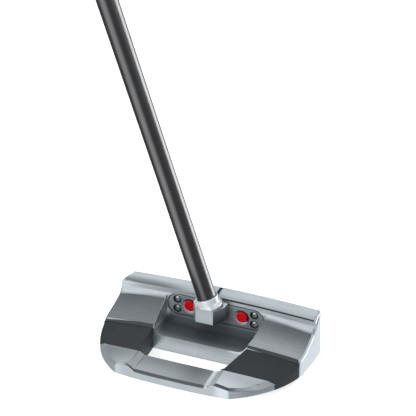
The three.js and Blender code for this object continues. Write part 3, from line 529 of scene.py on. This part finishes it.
def head_steel_with_painted_light():
    """Satin steel with painted light and shade: bright on the topline, painted shade on the wings and
    the darkest painted shade in the pocket.
    """
    m, colour = surface("satin_steel", **STEEL)
    painted_top_shade = m.total(WING_PAINTED_SHADE, m.times(*(m.along(*ramp) for ramp in WING_PAINTED_SHADE_GAINS)))
    # Where the painted shade along the topline's rear edge goes.
    seam = m.times(m.mask(TOPLINE_SEAM_PAINTED_SHADE), topline_seam_shade_mask(m))
    level = m.shade(1.0, TOPLINE_TOE_PAINTED_SHADE)
    level = m.towards(level, m.mask(WINGS), painted_top_shade)
    level = m.shade(level, TOE_END_PAINTED_LIGHT, UNDER_POCKET_PAINTED_SHADE, *WING_EDGE_PAINTED_SHADES, POCKET_RIM_PAINTED_HIGHLIGHT, SHELF_WALL_PAINTED_LIGHT)
    level = m.towards(level, seam, TOPLINE_SEAM_PAINTED_SHADE.level)
    level = m.shade(level, TOPLINE_HEEL_PAINTED_SHADE, POCKET_CORNER_PAINTED_HIGHLIGHT)
    cutter_lines = m.mottle(m.noise(1, 1, LONG_CUTTER_STRETCH), *CUTTER_SHADES)
    # The steel's colour with its painted light and shade, and faint cutter lines.
    steel = m.dim(colour, m.times(level, cutter_lines))

    # Painted shade in the pocket, except its corner; the pocket is also rougher.
    pocket_shade = m.towards(m.mask(POCKET), m.mask(POCKET_CORNER_PAINTED_HIGHLIGHT), 0.0)
    floor = m.blend(m.mask(POCKET_LIP), POCKET_PAINTED_SHADE_COLOUR, POCKET_LIP_PAINTED_SHADE_COLOUR)
    m.link(m.blend(pocket_shade, steel, floor), m.shader.inputs["Base Color"])
    rough = m.mottle(m.noise(STEEL["grain"], 3), *STEEL["rough"])
    m.link(m.towards(rough, pocket_shade, POCKET_ROUGHNESS), m.shader.inputs["Roughness"])
    return m.material


def flange_steel_with_painted_light():
    """The rear flange's steel with painted light and shade: painted shade on top, less towards the
    rear, the toe and the heel, and dark lines painted along its chamfer.
    """
    m, colour = surface("flange_steel_with_painted_light", **STEEL)
    painted_top_shade = m.total(FLANGE_PAINTED_SHADE, *(m.along(*ramp) for ramp in FLANGE_PAINTED_SHADE_GAINS))
    level = m.shade(1.0, FLANGE_WALL_PAINTED_SHADE, FLANGE_CORNER_PAINTED_HIGHLIGHT, FLANGE_HEEL_PAINTED_LIGHT)
    level = m.towards(level, m.mask(FLANGE_TOP), painted_top_shade)
    level = m.shade(level, FLANGE_CHAMFER_PAINTED_SHADE, TOE_CHAMFER_PAINTED_SHADE, TOE_RAMP_PAINTED_LIGHT)
    m.link(m.dim(colour, level), m.shader.inputs["Base Color"])
    return m.material


def neck_steel_with_painted_light():
    """The neck plate's steel with painted light and shade: dimmed, brighter towards the heel, with
    painted shade on the block's toe sides and painted shade rings round screws and bolts.
    """
    m, colour = surface("neck_steel_with_painted_light", **STEEL)
    level = m.shade(m.along(*PLATE_PAINTED_SHADE_AND_SHEEN), BLOCK, BLOCK_TOE_SIDES_PAINTED_SHADE)
    # Painted shade rings round the screws, and round the bolts painted shade with a painted glint.
    for end in ("heel", "toe"):
        for row in ("upper", "lower"):
            apart, _, _ = m.apart("insert_screw_%s_%s" % (end, row))
            level = m.towards(level, m.ramp(apart, *SCREW_SHADE_RING), SCREW_SHADE_RING_LEVEL)
        apart, across, up = m.apart("neck_bolt_" + end)
        painted_glint = m.total(m.times(across, BOLT_PAINTED_GLINT[0]), m.times(up, BOLT_PAINTED_GLINT[1]))
        level = m.towards(level, m.ramp(apart, *BOLT_SHADE_RING), m.ramp(painted_glint, *BOLT_PAINTED_GLINT_RAMP))
    m.link(m.dim(colour, level), m.shader.inputs["Base Color"])
    return m.material


LOOKS = {name: surface(name, **finish)[0].material for name, finish in FINISHES.items()}
LOOKS["satin_steel"] = head_steel_with_painted_light()
PAINTED_LIGHT_LOOKS = {"rear_flange": flange_steel_with_painted_light(), "neck_plate": neck_steel_with_painted_light()}
SLOTS = {part["node"]: part["material_slot"] for part in frame["record"]["subparts"]}


# ---------------------------------------------------------------- refined pieces


SHARP_ANGLE = math.radians(40)  # sharper edges than this stay crisp in the shading
ROUNDED_ANGLE = math.radians(15)  # sharper edges than this are rounded
FLAT_ANGLE = math.radians(0.4)  # flatter joins than this are merged
WELD_SHARE = 0.15  # shares of the rounding's width
STRAY_SHARE = 0.45
EDGE_SEGMENTS = 3
TURNED_SIDES = 96
SAME_POINT = 1e-7


def finished(node, mesh, look=None, stands_in=True):
    """The object of a mesh that belongs to a CAD node and, unless it only adds to it, stands for it."""
    for polygon in mesh.polygons:
        polygon.use_smooth = True
    mesh.set_sharp_from_angle(angle=SHARP_ANGLE)
    mesh.materials.append(look or LOOKS[SLOTS[node]])
    piece = bpy.data.objects.new(mesh.name, mesh)
    scene.collection.objects.link(piece)
    weights = piece.modifiers.new("shade", "WEIGHTED_NORMAL")
    weights.keep_sharp = True
    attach(piece, "root")
    if stands_in:
        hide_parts(node)
    return piece


def refined(node, width, look=None):
    """A copy of a CAD node with its flat faces merged and its edges rounded."""
    width = width * MM
    bm = bmesh.new()
    bm.from_mesh(nodes[node].data)
    bmesh.ops.remove_doubles(bm, verts=bm.verts, dist=width * WELD_SHARE)
    bmesh.ops.dissolve_limit(bm, angle_limit=FLAT_ANGLE, verts=bm.verts, edges=bm.edges)
    skin = BVHTree.FromBMesh(bm)
    rounded = [edge for edge in bm.edges if edge.is_manifold and edge.calc_face_angle() > ROUNDED_ANGLE]
    bmesh.ops.bevel(
        bm, geom=rounded, offset=width, segments=EDGE_SEGMENTS, profile=0.5, affect="EDGES",
        clamp_overlap=False, loop_slide=True,
    )
    for vert in bm.verts:
        nearest, _, _, distance = skin.find_nearest(vert.co)
        if distance > width * STRAY_SHARE:
            vert.co = nearest
    mesh = bpy.data.meshes.new(node + "_fine")
    bm.to_mesh(mesh)
    bm.free()
    return finished(node, mesh, look)


def ring_profile(node):
    """The centre and axis of a turned CAD node, and its rings as (along, radius) in their order."""
    data = nodes[node].data
    points = np.array([vert.co for vert in data.vertices])
    centre = points.mean(0)
    axis = np.linalg.svd(points - centre, full_matrices=False)[2][0]
    axis = axis * np.sign(axis[2])
    along = (points - centre) @ axis
    radius = np.linalg.norm(points - centre - np.outer(along, axis), axis=1)
    keys = [(round(a, 5), round(r, 5)) for a, r in zip(along.tolist(), radius.tolist())]
    beside = {key: set() for key in keys}
    for edge in data.edges:
        first, second = keys[edge.vertices[0]], keys[edge.vertices[1]]
        if first != second:
            beside[first].add(second)
            beside[second].add(first)
    walk = [min(keys)]
    while True:
        onward = [key for key in sorted(beside[walk[-1]]) if key not in walk]
        if not onward:
            return Vector(centre), Vector(axis), walk
        walk.append(onward[0])


def turned(name, centre, axis, profile):
    """A mesh turned about an axis from a closed profile of (along, radius)."""
    across = axis.orthogonal().normalized()
    beside = axis.cross(across)
    bm = bmesh.new()
    rings = []
    for along, radius in profile:
        ring = []
        for side in range(TURNED_SIDES):
            angle = 2 * math.pi * side / TURNED_SIDES
            spoke = math.cos(angle) * across + math.sin(angle) * beside
            ring.append(bm.verts.new(centre + along * axis + radius * spoke))
        rings.append(ring)
    for lower, upper in zip(rings, rings[1:] + rings[:1]):
        for side in range(TURNED_SIDES):
            after = (side + 1) % TURNED_SIDES
            bm.faces.new((lower[side], lower[after], upper[after], upper[side]))
    bmesh.ops.remove_doubles(bm, verts=bm.verts, dist=SAME_POINT)
    bmesh.ops.recalc_face_normals(bm, faces=bm.faces)
    mesh = bpy.data.meshes.new(name)
    bm.to_mesh(mesh)
    bm.free()
    return mesh


# How wide each piece's edges are rounded (mm).
EDGE_WIDTHS = {
    "front_body": 0.25,
    "rear_flange": 0.2,
    "core_frame": 0.1,
    "neck_plate": 0.18,
    "face_insert": 0.12,
}
SMALL_EDGE = 0.06

for name in sorted(set(nodes) - {"shaft"}):
    refined(name, EDGE_WIDTHS.get(name, SMALL_EDGE), look=PAINTED_LIGHT_LOOKS.get(name))

shaft_centre, shaft_axis, shaft_profile = ring_profile("shaft")
finished("shaft", turned("shaft_fine", shaft_centre, shaft_axis, shaft_profile))

# The polished collar on the neck block: height above the block's top and radius (mm).
COLLAR = [
    (-0.8, 6.42), (0.05, 6.42), (0.3, 6.3), (0.55, 6.05), (0.85, 5.8), (1.25, 5.62), (1.8, 5.53),
    (3.7, 5.5), (4.15, 5.49), (4.36, 5.38), (4.44, 5.2), (4.44, 5.03), (4.3, 4.96), (-0.8, 4.96),
]
BLOCK_TOP_Z = 22.55
BLOCK_REAR_Y = -1.64


def add_collar():
    """A flared collar round the shaft's foot, flat where the block ends."""
    foot = shaft_centre + shaft_axis * ((BLOCK_TOP_Z * MM - shaft_centre.z) / shaft_axis.z)
    profile = [(along * MM, radius * MM) for along, radius in COLLAR]
    mesh = turned("neck_collar", foot, shaft_axis, profile)
    for vert in mesh.vertices:
        vert.co.y = max(vert.co.y, BLOCK_REAR_Y * MM)
    finished("neck_plate", mesh, LOOKS["collar_steel_painted_bright"], stands_in=False)


add_collar()
